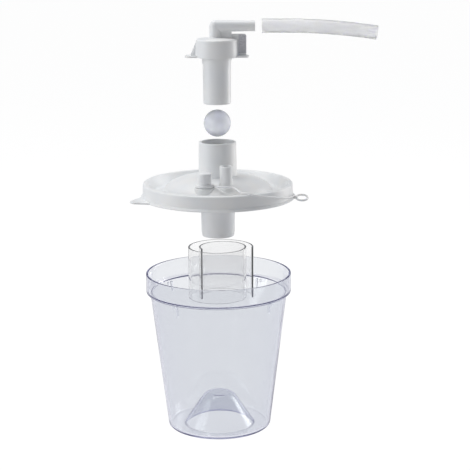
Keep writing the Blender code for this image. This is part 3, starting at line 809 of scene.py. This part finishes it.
def edge_fittings():
    """The lift tab, the ring's anchor and the four fins under the dome."""
    root = arc((0, 0), 0.0680, 212.8, 182.5, 12)
    tab = root + rounded([(*root[-1], 0), (*TAB_TIP, 0.0065), (*root[0], 0)], 8)[1:-1]
    lift = Matrix.Translation((0, 0, SKIRT_FOOT + 0.0009))
    anchor = [(0.0679, -0.0130), (0.0702, -0.0130), (0.0702, -0.0050), (0.0679, -0.0050)]
    fin = [
        (DROP_RADIUS - 0.0008, 0.2198),
        (FIN_REACH, 0.2198),
        (FIN_REACH, DOME_TOP - 0.0029),
        (DROP_RADIUS - 0.0008, DOME_TOP - 0.0010),
    ]
    made = [plate(f"fin_{corner}", fin, 0.0015, upright(45 + 90 * corner)) for corner in range(4)]
    made.append(plate("lift_tab", tab, 0.0016, lift, 0.0003))
    made.append(plate("anchor", anchor, 0.0033, Matrix.Translation((0, 0, 0.21985)), 0.0003))
    return made


combine(lid_body, "UNION", *port_fittings(), *edge_fittings())
print("the lid with its fittings has", len(lid_body.data.polygons), "faces")

# %% The lid's bores
def port_bores():
    """The two bores through the dome."""
    deep = SKIRT_FOOT - 0.0100
    return [
        rod("tall_bore", (TALL_PORT_X, PORT_Y, deep), (TALL_PORT_X, PORT_Y, lid_high.z), 0.0034),
        rod("low_bore", (CAP_X, PORT_Y, deep), (CAP_X, PORT_Y, lid_high.z), 0.0026),
    ]


def collar_seat():
    """The room for the cap's collar: a disc above the boss, with the nipple spared in its middle."""
    room = rod("seat", (CAP_X, PORT_Y, BOSS_TOP), (CAP_X, PORT_Y, lid_high.z), COLLAR_RADIUS + 0.0004)
    spared = rod("spared", (CAP_X, PORT_Y, 0.2), (CAP_X, PORT_Y, 0.3), 0.0043)
    return combine(room, "DIFFERENCE", spared)


bores = port_bores()
combine(lid_body, "DIFFERENCE", collar_seat(), *bores)
dress(lid_body, lid_white, "lid", "white_plastic", "lid", sharp=34)

# %% [markdown]
# ## The cap, its tether and the pull ring
#
# The short port is shut by a push-on cup with a wide collar. A thin strap runs from the collar over the rim
# and down to a ring that hangs over the edge. The strap is one fixed mesh and does not follow the cap.

# %% The cap
cap_low, cap_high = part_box("port_cap")


def push_cap():
    """A blind cup with a wide collar round its foot."""
    wall = 0.0060
    bore = 0.0046
    collar = cap_low.z + 0.0025
    corners = [
        (0, cap_high.z, 0),
        (wall + 0.0002, cap_high.z, 0.0009),
        (wall - 0.0002, collar, 0.0004),
        (COLLAR_RADIUS, collar, 0.0008),
        (COLLAR_RADIUS, cap_low.z, 0.0005),
        (bore, cap_low.z, 0.0003),
        (bore, cap_high.z - 0.0016, 0.0004),
        (0, cap_high.z - 0.0016, 0),
    ]
    return spun_at("push_cap", CAP_X, corners)


dress(push_cap(), cap_white, "port_cap", "white_plastic", "port_cap")

# %% The tether
STRAP = 0.0008


def over_edge(angle, radius, height):
    """A point at an angle from +X towards the front, in degrees, about the lid's axis."""
    swing = math.radians(angle)
    return (radius * math.cos(swing), -radius * math.sin(swing), height)


def bar_along(name, route, radius, closed=False):
    """A round bar along a route, as a plain closed mesh."""
    curve = bpy.data.curves.new(name, "CURVE")
    curve.dimensions = "3D"
    curve.bevel_depth = radius
    curve.bevel_resolution = 5
    curve.use_fill_caps = True
    spline = curve.splines.new("POLY")
    spline.points.add(len(route) - 1)
    for point, place in zip(spline.points, route):
        point.co = (*place, 1)
    spline.use_cyclic_u = closed
    source = bpy.data.objects.new(name + "_line", curve)
    bpy.context.scene.collection.objects.link(source)
    graph = bpy.context.evaluated_depsgraph_get()
    mesh = bpy.data.meshes.new_from_object(source.evaluated_get(graph))
    bpy.data.objects.remove(source)
    shape = bmesh.new()
    shape.from_mesh(mesh)
    bmesh.ops.remove_doubles(shape, verts=shape.verts, dist=WELD)
    bmesh.ops.recalc_face_normals(shape, faces=shape.faces)
    return new_piece(name, shape)


def tether():
    """The strap from the cap's collar, past the tall port, over the rim and down the skirt."""
    clear = STRAP + 0.0003
    beside = SKIRT_RADIUS + clear + 0.0001
    route = [
        (CAP_X + COLLAR_RADIUS + clear, PORT_Y - 0.0040, BOSS_TOP + 0.0016),
        (TALL_PORT_X - 0.0040, PORT_Y - 0.0088, BOSS_TOP + 0.0020),
        (TALL_PORT_X + 0.0070, PORT_Y - 0.0110, BOSS_TOP + 0.0016),
        over_edge(70, 0.0600, RIM_TOP + 0.0016),
        over_edge(66, 0.0665, RIM_TOP + clear + 0.0002),
        over_edge(61, beside, RIM_TOP - 0.0006),
        over_edge(50, beside, RIM_TOP - 0.0034),
        over_edge(36, beside, RIM_TOP - 0.0066),
        over_edge(22, beside, RIM_TOP - 0.0094),
        over_edge(11, beside + 0.0002, RIM_TOP - 0.0107),
    ]
    bar = bar_along("tether", smooth_line(route, 8), STRAP)
    strap = dress(bar, cap_white, None, "white_plastic", "tether_strap")
    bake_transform(strap)
    return route


route = tether()
print("the tether is held at", [round(1000 * x) for x in route[-1]], "mm")

# %% The pull ring
ring_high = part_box("pull_ring")[1]
RING_CENTRE = (0.0764, -0.0090, 0.2186)
RING_HALF = (0.0052, 0.0060)
RING_BAND = 0.0010
RING_TILT = math.radians(14)


def finger_ring():
    """An oval ring, tipped a little, with a root against the flange."""
    tilt = Matrix.Translation(RING_CENTRE) @ Matrix.Rotation(RING_TILT, 4, "X")
    across, along = RING_HALF
    angles = [math.tau * k / 64 for k in range(64)]
    loop = [tilt @ Vector((across * math.cos(a), along * math.sin(a), 0)) for a in angles]
    outline = [(0.0706, -0.0120), (0.0722, -0.0120), (0.0722, -0.0060), (0.0706, -0.0060)]
    root = plate("root", outline, 0.0026, Matrix.Translation((0, 0, 0.2187)), 0.0002)
    return combine(bar_along("finger_ring", loop, RING_BAND, True), "UNION", root)


dress(finger_ring(), cap_white, "lid", "white_plastic", "pull_ring")
print("the ring stands out to", round(1000 * ring_high.x), "mm")

# %% [markdown]
# ## The float ball
#
# A blown ball has a fine seam where the two halves of its mould met. A sphere primitive has none, so the
# ball is turned from a half circle whose radius swells by a few hundredths of a millimetre at the equator.

# %% The ball
ball_low, ball_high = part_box("float_ball")


def milky_float():
    """The ball with its mould seam."""
    centre = (ball_low + ball_high) / 2
    radius = (ball_high.z - ball_low.z) / 2
    line = []
    for k in range(97):
        angle = math.pi * (0.5 - k / 96)
        swell = 0.00006 * math.exp(-((angle / 0.025) ** 2))
        line.append(Vector(((radius + swell) * math.cos(angle), centre.z + radius * math.sin(angle))))
    line[0].x = line[-1].x = 0
    return turned("milky_float", line, 96)


dress(milky_float(), ball_milk, "float_ball", "milky_ball", "float_ball", sharp=60)

# %% [markdown]
# ## The elbow
#
# The elbow turns the suction through a right angle. Its cap slips over the chimney, its plug hangs inside
# and ends in the ball's seat, its two ears are for the fingers and the plate under the spout is for the
# thumb. Again the round part is one line and the rest is joined to it, each with its edges eased first,
# because a mould has no knife edges. Surfaces that nearly coincide tear when they are joined, so the grip
# sits a little inside its border, and the bend is one line with the stub below it.

# %% The elbow's cap and plug
CAP_TOP = 0.3615
CAP_FOOT = 0.3453
CAP_CROWN = 0.0014
CAP_RADIUS = 0.0192
CAP_TAPER = 0.0007
CAP_BORE = 0.0175
CAP_ROOF = 0.0018
PLUG_FOOT = 0.3036
PLUG_BORE = 0.0107


def cap_and_plug():
    """The turned part: a skirted cap with the plug hanging in it, and the plug's sloping collar."""
    annulus = CAP_TOP - CAP_ROOF - 0.0007
    corners = [
        (0, CAP_TOP + CAP_CROWN, 0),
        (0.0085, CAP_TOP + 0.8 * CAP_CROWN, 0.008),
        (CAP_RADIUS - CAP_TAPER, CAP_TOP, 0.0020),
        (CAP_RADIUS, CAP_FOOT, 0.0004),
        (CAP_BORE, CAP_FOOT, 0.0002),
        (CAP_BORE, annulus, 0),
        (0.0129, annulus, 0),
        (0.0124, PLUG_FOOT, 0.0008),
        (PLUG_BORE, PLUG_FOOT, 0.0004),
        (PLUG_BORE, CAP_TOP - CAP_ROOF, 0),
        (0, CAP_TOP - CAP_ROOF, 0),
    ]
    body = turned("elbow_moulding", rounded(corners), 96)
    collar = rod("collar", (0, 0, 0.3412), (0, 0, CAP_TOP - 0.0022), 0.0133, steps=96)
    for vertex in collar.data.vertices:
        if vertex.co.z < CAP_FOOT:
            vertex.co.z += 0.12 * vertex.co.x
    core = rod("core", (0, 0, PLUG_FOOT), (0, 0, CAP_TOP), PLUG_BORE + 0.0010, steps=96)
    return combine(body, "UNION", combine(collar, "DIFFERENCE", core))


elbow = cap_and_plug()
print("cap and plug have", len(elbow.data.polygons), "faces")

# %% The elbow's ears, grip and fin
EAR_TIP = 0.0286
EAR_HALF = 0.0080
EAR_THICK = 0.0016
GRIP_TIP = 0.0265
GRIP_TOP = 0.3659
GRIP_THICK = 0.0016
GRIP_EDGE = 0.0019
GRIP_INSET = 0.0003
SPOUT_X = -0.00110
WEB_END = 0.0134


def ear(name, turn_degrees):
    """A flat ear at the cap's lower edge, rounded at its corners."""
    root_radius = CAP_RADIUS - 0.0006
    angle = math.degrees(math.asin(EAR_HALF / root_radius))
    root = arc((0, 0), root_radius, angle, -angle, 12)
    tip = [(EAR_TIP, -EAR_HALF, 0.0050), (EAR_TIP, EAR_HALF, 0.0050)]
    outline = root + rounded([(*root[-1], 0)] + tip + [(*root[0], 0)], 10)[1:-1]
    lift = Matrix.Translation((0, 0, CAP_FOOT + EAR_THICK / 2))
    return plate(name, outline, EAR_THICK, Matrix.Rotation(math.radians(turn_degrees), 4, "Z") @ lift, 0.0003)


def grip_pieces():
    """The thumb plate with its raised border, and the fin on the other side."""
    wall = CAP_RADIUS - 0.0011
    floor = CAP_FOOT + EAR_THICK - 0.0004
    grip = [
        (SPOUT_X + 0.0030, CAP_TOP - 0.0009, 0),
        (wall, CAP_TOP - 0.0009, 0),
        (wall, floor - GRIP_INSET, 0),
        (GRIP_TIP - GRIP_INSET, floor - GRIP_INSET, 0),
        (GRIP_TIP - GRIP_INSET, GRIP_TOP - GRIP_INSET, 0.0022 - GRIP_INSET),
        (SPOUT_X + 0.0030, GRIP_TOP - GRIP_INSET, 0),
    ]
    border = [
        (WEB_END, GRIP_TOP - GRIP_EDGE, 0),
        (GRIP_TIP - GRIP_EDGE, GRIP_TOP - GRIP_EDGE, 0.0008),
        (GRIP_TIP - GRIP_EDGE, floor, 0),
        (GRIP_TIP, floor, 0),
        (GRIP_TIP, GRIP_TOP, 0.0022),
        (WEB_END, GRIP_TOP, 0),
    ]
    fin = [(-wall, CAP_TOP - 0.0016), (-wall, floor), (-0.0240, floor)]
    return [
        plate("grip", rounded(grip, 8), GRIP_THICK, upright()),
        plate("grip_border", rounded(border, 8), GRIP_THICK + 0.0009, upright(), 0.0003),
        plate("cap_fin", fin, GRIP_THICK, upright(), 0.0003),
    ]


combine(elbow, "UNION", ear("right_ear", 0), ear("left_ear", 180), *grip_pieces())
print("with ears and grip it has", len(elbow.data.polygons), "faces")

# %% The elbow's spout
SPOUT_Z = 0.3729
SPOUT_TIP = 0.0343
SPOUT_RADIUS = 0.00535
SPOUT_BORE = 0.0032


def spout_pieces():
    """The stub with its flare and the round of the bend, the spout with its tip band, and the web below."""
    web = [
        (SPOUT_X + 0.0010, CAP_TOP - 0.0006),
        (WEB_END, CAP_TOP - 0.0006),
        (WEB_END, SPOUT_Z - 0.0030),
        (SPOUT_X + 0.0010, SPOUT_Z - 0.0013),
    ]
    ball = SPOUT_RADIUS + 0.00006
    roof = CAP_TOP + 0.0011
    neck = [
        (0, CAP_TOP - 0.0008, 0),
        (ball + 0.0022, CAP_TOP - 0.0008, 0),
        (ball + 0.0022, roof - 0.0001, 0),
        (ball, roof - 0.0001, 0.0012),
        (ball, SPOUT_Z, 0),
    ]
    bend = arc((0, SPOUT_Z), ball, 0, 90, 14)[1:]
    stub = turned("neck", rounded(neck) + bend, 64)
    stub.data.transform(Matrix.Translation((SPOUT_X, 0, 0)))
    return [
        stub,
        rod("spout", (SPOUT_X + 0.0002, 0, SPOUT_Z), (SPOUT_TIP - 0.0003, 0, SPOUT_Z), SPOUT_RADIUS, 0.0046),
        rod("tip_band", (SPOUT_TIP - 0.0040, 0, SPOUT_Z), (SPOUT_TIP, 0, SPOUT_Z), 0.00485),
        plate("web", web, 0.0046, upright(), 0.0004),
    ]


def spout_bores():
    """The way through: up the stub and out along the spout."""
    return [
        rod("stub_bore", (SPOUT_X, 0, CAP_TOP - 0.0040), (SPOUT_X, 0, SPOUT_Z + 0.0020), SPOUT_BORE),
        rod("spout_bore", (SPOUT_X, 0, SPOUT_Z), (SPOUT_TIP + 0.0020, 0, SPOUT_Z), SPOUT_BORE),
    ]


combine(elbow, "UNION", *spout_pieces())
combine(elbow, "DIFFERENCE", *spout_bores())
dress(elbow, elbow_white, "elbow", "white_plastic", "elbow_connector", sharp=34)

# %% [markdown]
# ## What stays as it is
#
# The two sealing rings and the cage under the ball sit deep inside. Their solids already have the right
# shape, so they keep it and only take a better finish.

# %% Hidden pieces
for node, material in (
    ("lid_seal_ring", seal_grey),
    ("elbow_seal_ring", seal_grey),
    ("ball_cage", lid_white),
):
    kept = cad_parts[node]
    kept.data.materials.clear()
    kept.data.materials.append(material)
    print(node, "keeps its solid")

# %% [markdown]
# ## The studio
#
# White plastic on white needs light with a direction, or it vanishes. Two tall soft boxes stand at the
# sides, the left one larger and the right one set further back, and nothing lights the front, so each
# upright cylinder goes dark down its middle and light at both edges. A box overhead whitens the rims. The
# floor glows of its own, as a lit sheet of acrylic does. Floor and air are near white to look at but dimmer
# to light with: real white surroundings as bright as they look would wash the shading out of the pieces.

# %% Floor
FLOOR_GIVES = (0.58, 0.58, 0.59, 1)
FLOOR_SHOWS = (0.96, 0.96, 0.96, 1)


def lit_floor():
    """A wide pale sheet under the object, not part of it."""
    shape = bmesh.new()
    bmesh.ops.create_grid(shape, x_segments=8, y_segments=8, size=9.0)
    floor = new_piece("studio_floor", shape)
    floor.location.z = -0.0002
    settings = {"Base Color": (0.08, 0.08, 0.08, 1), "Roughness": 0.9, "Specular IOR Level": 0.0}
    recipe = Recipe("studio_paper", settings)
    recipe.set("Emission Color", recipe.between(recipe.looked_at(), FLOOR_GIVES, FLOOR_SHOWS))
    recipe.set("Emission Strength", 1.0)
    floor.data.materials.append(recipe.material)
    return floor


print("the floor lies at", round(1000 * lit_floor().location.z, 1), "mm")

# %% Lamps
def soft_box(name, place, aim, size, watts, tint=(1, 1, 1)):
    """A rectangular lamp at a place, facing a point."""
    data = bpy.data.lights.new(name, "AREA")
    data.shape = "RECTANGLE"
    data.size, data.size_y = size
    data.energy = watts
    data.color = tint
    lamp = bpy.data.objects.new(name, data)
    bpy.context.scene.collection.objects.link(lamp)
    lamp.location = place
    lamp.rotation_euler = (Vector(aim) - Vector(place)).to_track_quat("-Z", "Y").to_euler()
    return lamp


MIDDLE = (0, 0, 0.24)
soft_box("left_box", (-1.15, -0.25, 0.40), MIDDLE, (0.8, 1.1), 6.8, (0.96, 0.98, 1.0))
soft_box("right_box", (1.05, 0.58, 0.45), MIDDLE, (0.5, 1.1), 8.5, (1.0, 0.99, 0.98))
soft_box("top_box", (-0.25, 0.25, 1.50), MIDDLE, (1.0, 0.8), 12)
print("three lamps")

# %% Surroundings
def surroundings():
    """White where it is looked at, dim where it only gives light, so that shapes keep their shading."""
    world = bpy.data.worlds.new("studio_air")
    world.use_nodes = True
    bpy.context.scene.world = world
    bench = Bench(world.node_tree)
    gives = bench.node("ShaderNodeBackground", {}, {"Color": (0.93, 0.95, 1.0, 1), "Strength": 0.31})
    shows = bench.node("ShaderNodeBackground", {}, {"Color": (1, 1, 1, 1), "Strength": 1.0})
    both = bench.node("ShaderNodeMixShader", {}, {0: bench.looked_at(), 1: gives, 2: shows})
    bench.feed(world.node_tree.nodes["World Output"].inputs["Surface"], both)
    bpy.context.scene.view_settings.view_transform = "Standard"
    print("the air is white to look at and dim to light with")


surroundings()
